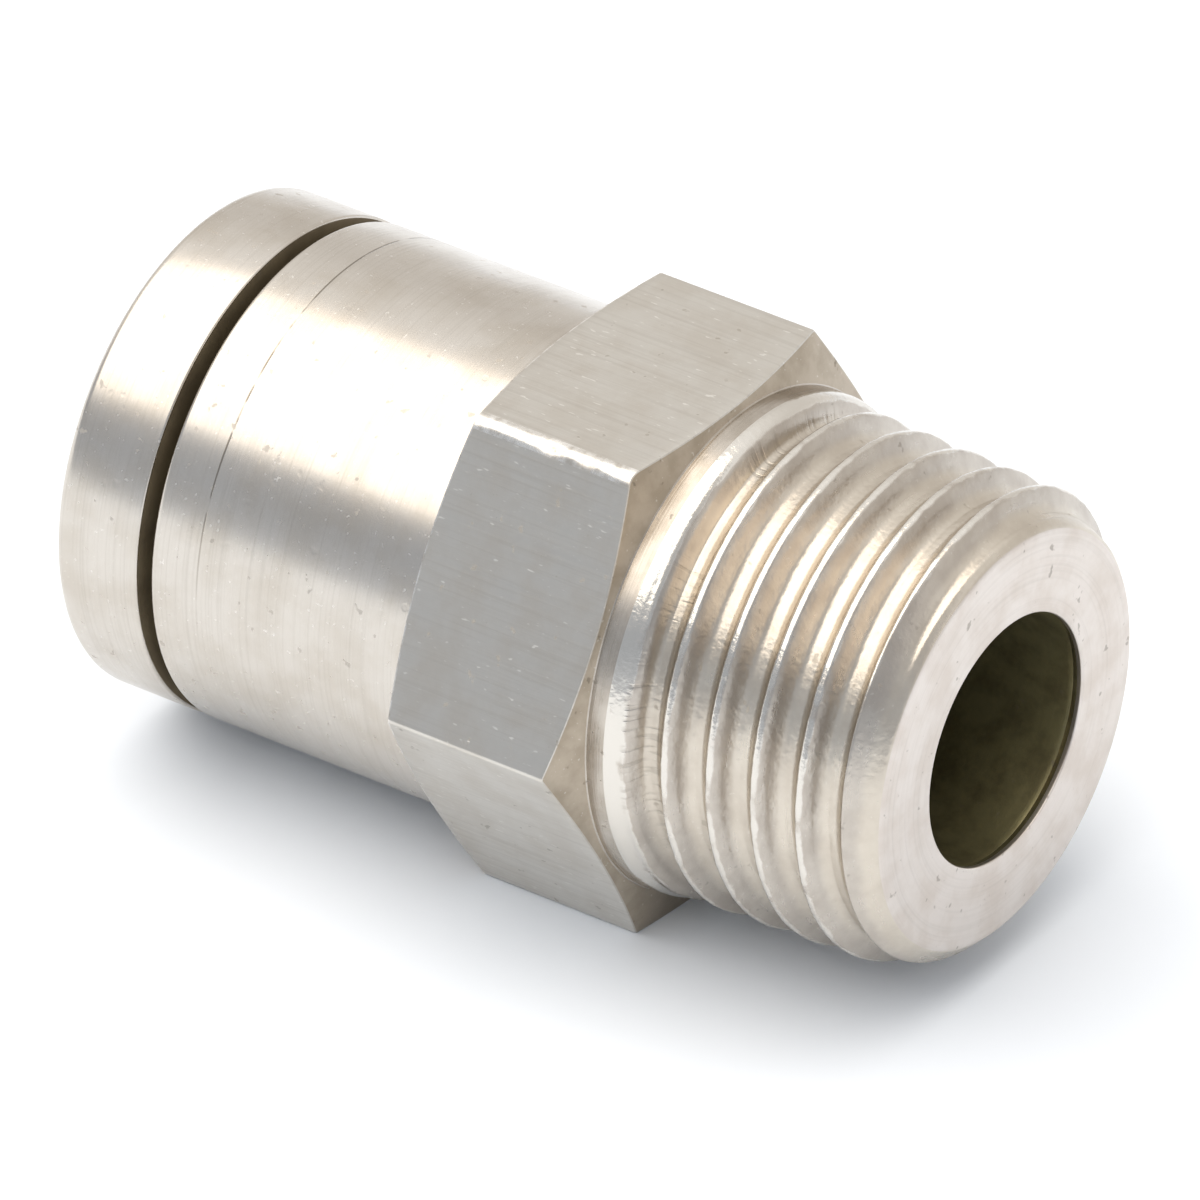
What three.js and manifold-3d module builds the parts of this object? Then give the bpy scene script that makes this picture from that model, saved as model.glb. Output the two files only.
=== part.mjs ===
// Straight push-in fitting: a taper male thread at one end, a push-in socket for plastic tube at the other.
// Millimetres. The axis is X: the thread's end face looks along +X and the tube goes in from -X.
// The hexagon rests on one flat, so +Z is up. The origin is the middle of the fitting, on its axis.

import * as THREE from 'three';
import { mergeVertices } from 'three/addons/utils/BufferGeometryUtils.js';
import Module from 'manifold-3d';

const wasm = await Module();
wasm.setup();

// ---------------------------------------------------------------- driving dimensions

// Tube and clearances
const TUBE_DIAMETER = 8;
const TUBE_CLEARANCE = 0.1;
const TUBE_STOP_LEDGE = 0.6;
const TUBE_SOCKET_DEPTH = 3;
const RUNNING_CLEARANCE = 0.1;
const PRESS_CLEARANCE = 0.02;
const END_PLAY = 0.05;

// Taper thread, R 1/4: 19 threads to the inch, taper 1 in 16, right-hand
const THREAD_PITCH = 25.4 / 19;
const THREAD_END_DIAMETER = 12.78;
const THREAD_TAPER = 1 / 16;
const THREAD_DEPTH = 0.856;
const THREAD_FLANK_ANGLE = THREE.MathUtils.degToRad(27.5);
const THREAD_CREST_FLAT = 0.22;
const THREAD_LENGTH = 7.6;
const THREAD_CHAMFER = 0.8;
const THREAD_RUN_OUT = 0.8;
const THREAD_START_ANGLE = THREE.MathUtils.degToRad(336);

// Hexagon and barrel
const SHOULDER_BAND_LENGTH = 0.6;
const HEX_LENGTH = 5.6;
const HEX_ACROSS_FLATS = 14;
const HEX_CHAMFER_ANGLE = THREE.MathUtils.degToRad(18);
const BARREL_LENGTH = 8;
const BARREL_WALL = 1;
const BARREL_EDGE_ROUND = 0.15;

// Release button and collet
const BUTTON_TRAVEL = 0.35;
const BUTTON_FLANGE_LENGTH = 2.6;
const BUTTON_EDGE_ROUND = 0.25;
const BUTTON_HUB_WALL = 0.43;
const BUTTON_LEAD_IN = 0.8;
const BUTTON_STOP_LAND = 0.2;
const COLLET_WALL = 0.4;
const COLLET_BARB_HEIGHT = 0.35;
const COLLET_BARB_LENGTH = 0.3;
const COLLET_SLOT_WIDTH = 0.7;
const COLLET_SLOT_LENGTH = 3;

// Guide bush, chuck, spacer and seal
const GUIDE_RECESS = 0.1;
const GUIDE_LENGTH = 3.6;
const GUIDE_WALL = 0.68;
const GUIDE_LIP_LENGTH = 0.5;
const GUIDE_COUNTERBORE_DEPTH = 0.45;
const CHUCK_BAND_LENGTH = 1;
const CHUCK_BAND_THICKNESS = 0.25;
const CLAW_COUNT = 8;
const CLAW_THICKNESS = 0.35;
const CLAW_ANGLE = THREE.MathUtils.degToRad(45);
const CLAW_BITE = 0.05;
const CLAW_ROOT_INSET = 0.22;
const CLAW_ROOT_SETBACK = 0.35;
const CLAW_SPLIT = 0.3;
const SPACER_LENGTH = 1.5;
const SPACER_SKIRT_LENGTH = 1.5;
const SPACER_SKIRT_WALL = 0.38;
const SEAL_SECTION = 1.8;
const SEAL_SIDE_PLAY = 0.1;

// Fineness of the faceted surfaces
const ROUND_SEGMENTS = 48;
const THREAD_STEPS_PER_TURN = 24;
const SEAL_SECTION_SEGMENTS = 8;
const EDGE_ROUND_STEPS = 3;
const CUT_OVERRUN = 1;

// ---------------------------------------------------------------- radii, from the tube outwards

const TUBE_RADIUS = TUBE_DIAMETER / 2;
const SLIDE_RADIUS = TUBE_RADIUS + TUBE_CLEARANCE;
const FLOW_RADIUS = TUBE_RADIUS - TUBE_STOP_LEDGE;
const COLLET_RADIUS = SLIDE_RADIUS + COLLET_WALL;
const BARB_RADIUS = COLLET_RADIUS + COLLET_BARB_HEIGHT;
const BUTTON_BORE_RADIUS = COLLET_RADIUS + PRESS_CLEARANCE;
const HUB_RADIUS = BUTTON_BORE_RADIUS + BUTTON_HUB_WALL;
const GUIDE_BORE_RADIUS = HUB_RADIUS + RUNNING_CLEARANCE;
const GUIDE_LIP_RADIUS = COLLET_RADIUS + RUNNING_CLEARANCE;
const GUIDE_RADIUS = GUIDE_BORE_RADIUS + GUIDE_WALL;
const CAVITY_RADIUS = GUIDE_RADIUS + PRESS_CLEARANCE;
const BARREL_RADIUS = CAVITY_RADIUS + BARREL_WALL;
const CHUCK_RADIUS = CAVITY_RADIUS - RUNNING_CLEARANCE;
const CHUCK_BAND_BORE = CHUCK_RADIUS - CHUCK_BAND_THICKNESS;
const CLAW_ROOT_RADIUS = CHUCK_BAND_BORE - CLAW_ROOT_INSET;
const CLAW_TIP_RADIUS = TUBE_RADIUS - CLAW_BITE;
const HEX_CORNER_RADIUS = HEX_ACROSS_FLATS / 2 / Math.cos(Math.PI / 6);

// ---------------------------------------------------------------- places along the axis

const BUTTON_GAP = BUTTON_TRAVEL + END_PLAY;
const OVERALL_LENGTH =
  THREAD_LENGTH + SHOULDER_BAND_LENGTH + HEX_LENGTH + BARREL_LENGTH + BUTTON_GAP + BUTTON_FLANGE_LENGTH;
const THREAD_FACE_X = OVERALL_LENGTH / 2;
const THREAD_REAR_X = THREAD_FACE_X - THREAD_LENGTH;
const HEX_FRONT_X = THREAD_REAR_X - SHOULDER_BAND_LENGTH;
const HEX_REAR_X = HEX_FRONT_X - HEX_LENGTH;
const BARREL_REAR_X = HEX_REAR_X - BARREL_LENGTH;
const FLANGE_FRONT_X = BARREL_REAR_X - BUTTON_GAP;
const FLANGE_REAR_X = FLANGE_FRONT_X - BUTTON_FLANGE_LENGTH;

const GUIDE_REAR_X = BARREL_REAR_X + GUIDE_RECESS;
const GUIDE_FRONT_X = GUIDE_REAR_X + GUIDE_LENGTH;
const GUIDE_LIP_FRONT_X = GUIDE_FRONT_X - GUIDE_COUNTERBORE_DEPTH;
const GUIDE_LIP_REAR_X = GUIDE_LIP_FRONT_X - GUIDE_LIP_LENGTH;
const CHUCK_REAR_X = GUIDE_FRONT_X + END_PLAY;
const CHUCK_FRONT_X = CHUCK_REAR_X + CHUCK_BAND_LENGTH;
const CLAW_ROOT_X = CHUCK_REAR_X + CLAW_ROOT_SETBACK;
const SKIRT_REAR_X = CHUCK_FRONT_X + END_PLAY;
const SPACER_REAR_X = SKIRT_REAR_X + SPACER_SKIRT_LENGTH;
const SPACER_FRONT_X = SPACER_REAR_X + SPACER_LENGTH;
const SEAL_X = SPACER_FRONT_X + SEAL_SIDE_PLAY + SEAL_SECTION / 2;
const SEAT_FRONT_X = SEAL_X + SEAL_SECTION / 2 + SEAL_SIDE_PLAY;
const TUBE_STOP_X = SEAT_FRONT_X + TUBE_SOCKET_DEPTH;
const HUB_FRONT_X = GUIDE_LIP_REAR_X - BUTTON_GAP - END_PLAY;
const COLLET_REAR_X = FLANGE_REAR_X + BUTTON_LEAD_IN + BUTTON_STOP_LAND;

// ---------------------------------------------------------------- solids

/** A solid from a closed geometry, with the slivers that close up on the axis left out. */
function solidFrom(geometry) {
  const bare = geometry.clone();
  bare.deleteAttribute('normal');
  bare.deleteAttribute('uv');
  const merged = mergeVertices(bare, 1e-5);
  const corners = merged.index.array;
  const kept = [];
  for (let i = 0; i < corners.length; i += 3) {
    const [a, b, c] = [corners[i], corners[i + 1], corners[i + 2]];
    if (a !== b && b !== c && c !== a) {
      kept.push(a, b, c);
    }
  }
  const mesh = new wasm.Mesh({
    numProp: 3,
    vertProperties: merged.attributes.position.array,
    triVerts: Uint32Array.from(kept),
  });
  return new wasm.Manifold(mesh);
}

/** The geometry of a solid, with shared corners and their normals. */
function geometryFrom(solid) {
  const mesh = solid.getMesh();
  const geometry = new THREE.BufferGeometry();
  geometry.setAttribute('position', new THREE.BufferAttribute(mesh.vertProperties, 3));
  geometry.setIndex(new THREE.BufferAttribute(mesh.triVerts, 1));
  geometry.computeVertexNormals();
  return geometry;
}

/** A solid turned about X from [x, radius] points: outside from rear to front, then any bore back. */
function turned(points) {
  const profile = points.map(([x, radius]) => new THREE.Vector2(radius, x));
  const geometry = new THREE.LatheGeometry(profile, ROUND_SEGMENTS);
  geometry.rotateZ(-Math.PI / 2);
  return solidFrom(geometry);
}

/** A turned ring: the outside from rear to front, then the bore from front to rear, closed on itself. */
function turnedRing(outside, bore) {
  return turned([...outside, ...bore, outside[0]]);
}

/** A flat outline in the Y-Z plane, given as [y, z] points, drawn out along X from one place to another. */
function barAlongX(points, fromX, toX) {
  const outline = new THREE.Shape(points.map(([y, z]) => new THREE.Vector2(-z, y)));
  const geometry = new THREE.ExtrudeGeometry(outline, { depth: toX - fromX, bevelEnabled: false });
  geometry.rotateY(Math.PI / 2);
  geometry.translate(fromX, 0, 0);
  return solidFrom(geometry);
}

/** The [x, radius] points of a rounded outer corner whose sharp corner would be at (cornerX, cornerRadius). */
function roundedCorner(cornerX, cornerRadius, round, facesRear) {
  const side = facesRear ? 1 : -1;
  const points = [];
  for (let step = 0; step <= EDGE_ROUND_STEPS; step += 1) {
    const angle = (Math.PI / 2) * (step / EDGE_ROUND_STEPS);
    const x = cornerX + side * round * (1 - Math.sin(angle));
    const radius = cornerRadius - round * (1 - Math.cos(angle));
    points.push([x, radius]);
  }
  return facesRear ? points.reverse() : points;
}

/** A named mesh of one piece. */
function piece(name, solid, material) {
  const mesh = new THREE.Mesh(geometryFrom(solid), material);
  mesh.name = name;
  return mesh;
}

// ---------------------------------------------------------------- materials

const nickelPlatedBrass = new THREE.MeshStandardMaterial({ color: 0xb4aca2, roughness: 0.32, metalness: 1 });
const turnedBrass = new THREE.MeshStandardMaterial({ color: 0xc4a35a, roughness: 0.35, metalness: 1 });
const springSteel = new THREE.MeshStandardMaterial({ color: 0xa9abad, roughness: 0.28, metalness: 1 });
const nitrileRubber = new THREE.MeshStandardMaterial({ color: 0x1c1c1d, roughness: 0.7, metalness: 0 });

// ---------------------------------------------------------------- fitting body

/** Radius over the thread's crests at a place along the taper. */
function crestRadius(x) {
  return THREAD_END_DIAMETER / 2 + (THREAD_FACE_X - x) * THREAD_TAPER / 2;
}

/** The turned outside of the body, without its hexagon and thread groove. */
function bodyBlank() {
  const chamferRearX = THREAD_FACE_X - THREAD_CHAMFER;
  return turned([
    [BARREL_REAR_X, 0],
    ...roundedCorner(BARREL_REAR_X, BARREL_RADIUS, BARREL_EDGE_ROUND, true),
    [THREAD_REAR_X, BARREL_RADIUS],
    [THREAD_REAR_X, crestRadius(THREAD_REAR_X)],
    [chamferRearX, crestRadius(chamferRearX)],
    [THREAD_FACE_X, crestRadius(THREAD_FACE_X) - THREAD_CHAMFER],
    [THREAD_FACE_X, 0],
  ]);
}

/** The hexagon with both ends of its corners turned off at a shallow angle. */
function hexagon() {
  const corners = [];
  for (let k = 0; k < 6; k += 1) {
    const angle = (k * Math.PI) / 3;
    corners.push([HEX_CORNER_RADIUS * Math.cos(angle), HEX_CORNER_RADIUS * Math.sin(angle)]);
  }
  const bar = barAlongX(corners, HEX_REAR_X, HEX_FRONT_X);
  const rimRadius = HEX_CORNER_RADIUS + CUT_OVERRUN;
  const drop = (rimRadius - BARREL_RADIUS) * Math.tan(HEX_CHAMFER_ANGLE);
  const corner = turned([
    [HEX_REAR_X, 0],
    [HEX_REAR_X, BARREL_RADIUS],
    [HEX_REAR_X + drop, rimRadius],
    [HEX_FRONT_X - drop, rimRadius],
    [HEX_FRONT_X, BARREL_RADIUS],
    [HEX_FRONT_X, 0],
  ]);
  return bar.intersect(corner);
}

/** What the threading tool takes away: a V section wound on the taper, lifting out at its end. */
function threadGroove() {
  const topHalf = (THREAD_PITCH - THREAD_CREST_FLAT) / 2;
  const rootHalf = topHalf - THREAD_DEPTH * Math.tan(THREAD_FLANK_ANGLE);
  const outerHeight = THREAD_DEPTH + CUT_OVERRUN;
  const section = new THREE.Shape([
    new THREE.Vector2(-rootHalf, 0),
    new THREE.Vector2(rootHalf, 0),
    new THREE.Vector2(topHalf, THREAD_DEPTH),
    new THREE.Vector2(topHalf, outerHeight),
    new THREE.Vector2(-topHalf, outerHeight),
    new THREE.Vector2(-topHalf, THREAD_DEPTH),
  ]);
  const startX = THREAD_FACE_X + THREAD_PITCH / 2;
  const turns = (startX - THREAD_REAR_X) / THREAD_PITCH;
  const bar = new THREE.ExtrudeGeometry(section, {
    depth: turns,
    steps: Math.round(turns * THREAD_STEPS_PER_TURN),
    bevelEnabled: false,
  });
  const position = bar.attributes.position;
  for (let i = 0; i < position.count; i += 1) {
    const turn = position.getZ(i);
    const centreX = startX - turn * THREAD_PITCH;
    const x = centreX - position.getX(i);
    const liftOut = Math.max(0, turn - turns + THREAD_RUN_OUT) / THREAD_RUN_OUT;
    const radius = crestRadius(x) - THREAD_DEPTH * (1 - liftOut) + position.getY(i);
    const angle = THREAD_START_ANGLE - turn * 2 * Math.PI;
    position.setXYZ(i, x, radius * Math.cos(angle), radius * Math.sin(angle));
  }
  return solidFrom(bar);
}

/** The stepped hole right through the body: flow bore, tube socket and the cavity for the inner pieces. */
function bodyBore() {
  return turned([
    [BARREL_REAR_X - CUT_OVERRUN, 0],
    [BARREL_REAR_X - CUT_OVERRUN, CAVITY_RADIUS],
    [SEAT_FRONT_X, CAVITY_RADIUS],
    [SEAT_FRONT_X, SLIDE_RADIUS],
    [TUBE_STOP_X, SLIDE_RADIUS],
    [TUBE_STOP_X, FLOW_RADIUS],
    [THREAD_FACE_X + CUT_OVERRUN, FLOW_RADIUS],
    [THREAD_FACE_X + CUT_OVERRUN, 0],
  ]);
}

function fittingBody() {
  const solid = bodyBlank().add(hexagon()).subtract(threadGroove()).subtract(bodyBore());
  return piece('fitting_body', solid, nickelPlatedBrass);
}

// ---------------------------------------------------------------- seal and spacer

/** The rubber ring that seals on the tube. */
function tubeSeal() {
  const sectionRadius = SEAL_SECTION / 2;
  const ringRadius = CAVITY_RADIUS - END_PLAY - sectionRadius;
  const outline = [];
  for (let k = 0; k <= SEAL_SECTION_SEGMENTS; k += 1) {
    const angle = Math.PI - (k * 2 * Math.PI) / SEAL_SECTION_SEGMENTS;
    outline.push([SEAL_X + sectionRadius * Math.cos(angle), ringRadius + sectionRadius * Math.sin(angle)]);
  }
  return piece('tube_seal', turned(outline), nitrileRubber);
}

/** The ring that backs the seal, with a skirt that holds the chuck's band in place. */
function sealSpacer() {
  const radius = CAVITY_RADIUS - END_PLAY;
  const solid = turnedRing(
    [[SKIRT_REAR_X, radius], [SPACER_FRONT_X, radius]],
    [
      [SPACER_FRONT_X, SLIDE_RADIUS],
      [SPACER_REAR_X, SLIDE_RADIUS],
      [SPACER_REAR_X, radius - SPACER_SKIRT_WALL],
      [SKIRT_REAR_X, radius - SPACER_SKIRT_WALL],
    ],
  );
  return piece('seal_spacer', solid, turnedBrass);
}

// ---------------------------------------------------------------- chuck: band and claws

/** The thin band that carries the claws and floats in the body's cavity. */
function chuckBand() {
  const solid = turnedRing(
    [[CHUCK_REAR_X, CHUCK_RADIUS], [CHUCK_FRONT_X, CHUCK_RADIUS]],
    [[CHUCK_FRONT_X, CHUCK_BAND_BORE], [CHUCK_REAR_X, CHUCK_BAND_BORE]],
  );
  return piece('chuck_band', solid, springSteel);
}

/** The sloping cone that all the claws are cut from, from its root at the band to the tips that bite the tube. */
function clawCone() {
  const along = new THREE.Vector2(Math.cos(CLAW_ANGLE), -Math.sin(CLAW_ANGLE));
  const across = new THREE.Vector2(Math.sin(CLAW_ANGLE), Math.cos(CLAW_ANGLE)).multiplyScalar(CLAW_THICKNESS / 2);
  const reach = (CLAW_ROOT_RADIUS - CLAW_TIP_RADIUS - across.y) / Math.sin(CLAW_ANGLE);
  const root = new THREE.Vector2(CLAW_ROOT_X, CLAW_ROOT_RADIUS);
  const tip = root.clone().addScaledVector(along, reach);
  return turnedRing(
    [[root.x + across.x, root.y + across.y], [tip.x + across.x, tip.y + across.y]],
    [[tip.x - across.x, tip.y - across.y], [root.x - across.x, root.y - across.y]],
  );
}

/** The wedge of the cone that one claw keeps, with half a split left free on each side. */
function clawWedge(angle) {
  const halfAngle = Math.PI / CLAW_COUNT;
  const apex = CLAW_SPLIT / 2 / Math.sin(halfAngle);
  const reach = CAVITY_RADIUS * 2;
  const corners = [[apex, 0]];
  for (const side of [-1, 1]) {
    corners.push([apex + reach * Math.cos(side * halfAngle), reach * Math.sin(side * halfAngle)]);
  }
  const turnedCorners = corners.map(([y, z]) => [
    y * Math.cos(angle) - z * Math.sin(angle),
    y * Math.sin(angle) + z * Math.cos(angle),
  ]);
  return barAlongX(turnedCorners, CHUCK_REAR_X - CUT_OVERRUN, SPACER_REAR_X + CUT_OVERRUN);
}

function chuckClaws() {
  const cone = clawCone();
  const claws = [];
  for (let k = 0; k < CLAW_COUNT; k += 1) {
    const angle = (k * 2 * Math.PI) / CLAW_COUNT;
    claws.push(piece(`chuck_claw_${k + 1}`, cone.intersect(clawWedge(angle)), springSteel));
  }
  return claws;
}

// ---------------------------------------------------------------- guide bush

/** The bush pressed into the barrel's mouth: it guides the button and keeps the collet's barb in. */
function guideBush() {
  const solid = turnedRing(
    [[GUIDE_REAR_X, GUIDE_RADIUS], [GUIDE_FRONT_X, GUIDE_RADIUS]],
    [
      [GUIDE_FRONT_X, GUIDE_BORE_RADIUS],
      [GUIDE_LIP_FRONT_X, GUIDE_BORE_RADIUS],
      [GUIDE_LIP_FRONT_X, GUIDE_LIP_RADIUS],
      [GUIDE_LIP_REAR_X, GUIDE_LIP_RADIUS],
      [GUIDE_LIP_REAR_X, GUIDE_BORE_RADIUS],
      [GUIDE_REAR_X, GUIDE_BORE_RADIUS],
    ],
  );
  return piece('guide_bush', solid, nickelPlatedBrass);
}

// ---------------------------------------------------------------- collet and release button

/** The slotted sleeve whose sloping nose opens the claws when the button is pressed. */
function collet() {
  const clawBackX = CLAW_ROOT_X - CLAW_THICKNESS / 2 / Math.sin(CLAW_ANGLE) - END_PLAY;
  const noseX = (radius) => clawBackX + (CLAW_ROOT_RADIUS - radius) / Math.tan(CLAW_ANGLE);
  const barbFrontX = GUIDE_FRONT_X + END_PLAY;
  const sleeve = turnedRing(
    [
      [COLLET_REAR_X, COLLET_RADIUS],
      [barbFrontX - COLLET_BARB_LENGTH, COLLET_RADIUS],
      [barbFrontX - COLLET_BARB_LENGTH, BARB_RADIUS],
      [barbFrontX, COLLET_RADIUS],
      [noseX(COLLET_RADIUS), COLLET_RADIUS],
      [noseX(SLIDE_RADIUS), SLIDE_RADIUS],
    ],
    [[COLLET_REAR_X, SLIDE_RADIUS]],
  );
  const slotReach = BARB_RADIUS + CUT_OVERRUN;
  const slotRearX = noseX(SLIDE_RADIUS) - COLLET_SLOT_LENGTH;
  const slotFrontX = noseX(SLIDE_RADIUS) + CUT_OVERRUN;
  const half = COLLET_SLOT_WIDTH / 2;
  const upright = barAlongX(
    [[-half, -slotReach], [half, -slotReach], [half, slotReach], [-half, slotReach]],
    slotRearX,
    slotFrontX,
  );
  const level = barAlongX(
    [[-slotReach, -half], [slotReach, -half], [slotReach, half], [-slotReach, half]],
    slotRearX,
    slotFrontX,
  );
  return piece('collet', sleeve.subtract(upright).subtract(level), turnedBrass);
}

/** The ring that is pressed to free the tube, with its hub and the hole the tube goes in through. */
function releaseButton() {
  const stopX = COLLET_REAR_X - PRESS_CLEARANCE;
  const solid = turnedRing(
    [
      ...roundedCorner(FLANGE_REAR_X, BARREL_RADIUS, BUTTON_EDGE_ROUND, true),
      ...roundedCorner(FLANGE_FRONT_X, BARREL_RADIUS, BUTTON_EDGE_ROUND, false),
      [FLANGE_FRONT_X, HUB_RADIUS],
      [HUB_FRONT_X, HUB_RADIUS],
    ],
    [
      [HUB_FRONT_X, BUTTON_BORE_RADIUS],
      [stopX, BUTTON_BORE_RADIUS],
      [stopX, SLIDE_RADIUS],
      [FLANGE_REAR_X + BUTTON_LEAD_IN, SLIDE_RADIUS],
      [FLANGE_REAR_X, SLIDE_RADIUS + BUTTON_LEAD_IN],
    ],
  );
  return piece('release_button', solid, nickelPlatedBrass);
}

// ---------------------------------------------------------------- assembly

const fitting = new THREE.Group();
fitting.add(fittingBody(), tubeSeal(), sealSpacer(), guideBush());
fitting.add(chuckBand(), ...chuckClaws());
fitting.add(collet(), releaseButton());

export default fitting;
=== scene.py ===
"""Looks of a straight push-in tube fitting: nickel-plated brass body, release button and the inner pieces."""

import logging
import math
from dataclasses import dataclass
from enum import Enum
from typing import Callable, Iterable

import bmesh
import bpy
from mathutils import Matrix, Vector, noise


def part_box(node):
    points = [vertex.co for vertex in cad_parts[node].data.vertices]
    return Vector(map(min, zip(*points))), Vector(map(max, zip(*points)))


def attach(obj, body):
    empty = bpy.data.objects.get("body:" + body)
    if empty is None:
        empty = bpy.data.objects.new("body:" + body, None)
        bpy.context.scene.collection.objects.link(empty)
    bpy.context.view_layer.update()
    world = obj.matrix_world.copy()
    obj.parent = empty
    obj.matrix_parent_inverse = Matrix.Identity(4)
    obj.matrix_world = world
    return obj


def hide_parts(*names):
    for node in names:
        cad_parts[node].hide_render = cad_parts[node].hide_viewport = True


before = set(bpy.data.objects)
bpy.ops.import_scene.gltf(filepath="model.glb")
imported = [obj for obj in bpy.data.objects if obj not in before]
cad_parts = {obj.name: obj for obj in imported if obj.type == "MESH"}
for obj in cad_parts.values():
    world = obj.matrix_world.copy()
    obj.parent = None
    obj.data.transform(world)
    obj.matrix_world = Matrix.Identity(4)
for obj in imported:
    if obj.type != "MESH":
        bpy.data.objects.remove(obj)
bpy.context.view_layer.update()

LOG = logging.getLogger("fitting")
MM = 0.001
FULL_TURN = 2 * math.pi
CLAWS = 8
# What the CAD boxes don't show: the gap behind the barrel, the clearance round the guide bush, and how far
# the collet's barb stands out from the bore that slides on the tube.
BUTTON_GAP = 0.4 * MM
BUSH_CLEARANCE = 0.02 * MM
COLLET_STEP = 0.75 * MM


# ---------------------------------------------------------------- sizes from the frame


@dataclass(frozen=True)
class Layout:
    """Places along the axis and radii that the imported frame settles, in metres."""

    thread_face: float
    barrel_rear: float
    flange_front: float
    flange_rear: float
    barrel_radius: float
    hex_apothem: float
    cavity_radius: float
    slide_radius: float
    floor: float

    @classmethod
    def from_frame(cls) -> "Layout":
        """Reads the CAD nodes' boxes.

        Returns:
            The layout that every piece takes its place from.
        """
        body_low, body_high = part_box("fitting_body")
        button_low, button_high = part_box("release_button")
        guide_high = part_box("guide_bush")[1]
        collet_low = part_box("collet")[0]
        return cls(
            thread_face=body_high.x,
            barrel_rear=body_low.x,
            flange_front=body_low.x - BUTTON_GAP,
            flange_rear=button_low.x,
            barrel_radius=button_high.z,
            hex_apothem=body_high.z,
            cavity_radius=guide_high.z + BUSH_CLEARANCE,
            slide_radius=-collet_low.z - COLLET_STEP,
            floor=body_low.z,
        )


# ---------------------------------------------------------------- colours and nodes


def srgb(code: str) -> tuple[float, float, float, float]:
    """Turns an sRGB hex colour into Blender's linear colour.

    Args:
        code: six hex digits.

    Returns:
        Linear red, green and blue with an alpha of 1.
    """
    parts = [int(code[i : i + 2], 16) / 255 for i in (0, 2, 4)]
    linear = [c / 12.92 if c <= 0.04045 else ((c + 0.055) / 1.055) ** 2.4 for c in parts]
    return (linear[0], linear[1], linear[2], 1.0)


class Nodes:
    """A node tree with one way of adding a node."""

    def __init__(self, tree: bpy.types.NodeTree) -> None:
        """Empties a node tree.

        Args:
            tree: the tree.
        """
        self.tree = tree
        self.tree.nodes.clear()

    def add(self, kind: str, settings: dict | None = None, **links: object) -> bpy.types.Node:
        """Adds a node with its settings and links.

        Args:
            kind: the node's type without the leading "ShaderNode".
            settings: attributes of the node.
            **links: inputs by name, with _ for a blank, or in0, in1 by number; each is a socket or a value.

        Returns:
            The new node.
        """
        made = self.tree.nodes.new("ShaderNode" + kind)
        for key, value in (settings or {}).items():
            setattr(made, key, value)
        for key, value in links.items():
            numbered = key.startswith("in") and key[2:].isdigit()
            socket = made.inputs[int(key[2:]) if numbered else key.replace("_", " ")]
            if isinstance(value, bpy.types.NodeSocket):
                self.tree.links.new(value, socket)
            else:
                socket.default_value = value
        return made

    def ramp(self, source: bpy.types.NodeSocket, low: float, high: float) -> bpy.types.NodeSocket:
        """Stretches a value so that low becomes 0 and high becomes 1, held at both ends.

        Args:
            source: the value's socket.
            low: the value that becomes 0.
            high: the value that becomes 1.

        Returns:
            The stretched value's socket.
        """
        smooth = {"interpolation_type": "SMOOTHSTEP"}
        return self.add("MapRange", smooth, Value=source, From_Min=low, From_Max=high).outputs["Result"]

    def math(self, operation: str, *values: object) -> bpy.types.NodeSocket:
        """Adds a Math node.

        Args:
            operation: Blender's name of the operation.
            *values: sockets or numbers.

        Returns:
            The result's socket.
        """
        links = {f"in{i}": value for i, value in enumerate(values)}
        return self.add("Math", {"operation": operation}, **links).outputs[0]

    def blend(self, share: object, first: object, second: object) -> bpy.types.NodeSocket:
        """Mixes two colours.

        Args:
            share: how much of the second, as a socket or a number.
            first: a colour or its socket.
            second: a colour or its socket.

        Returns:
            The mixed colour's socket.
        """
        mixed = self.add("Mix", {"data_type": "RGBA"}, in0=share, in6=first, in7=second)
        return mixed.outputs[2]


class Shader(Nodes):
    """A material and its node tree."""

    def __init__(self, name: str) -> None:
        """Makes an empty node material.

        Args:
            name: the material's name.
        """
        self.material = bpy.data.materials.new(name)
        self.material.use_nodes = True
        super().__init__(self.material.node_tree)


# ---------------------------------------------------------------- finishes


class Grain(Enum):
    """The way that a tool's marks run on a surface."""

    AROUND = "rings round the axis, as a lathe leaves on a cylinder"
    FACING = "rings on a flat face, as a facing cut leaves"
    LENGTHWISE = "lines along the axis, as drawn bar has"


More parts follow.
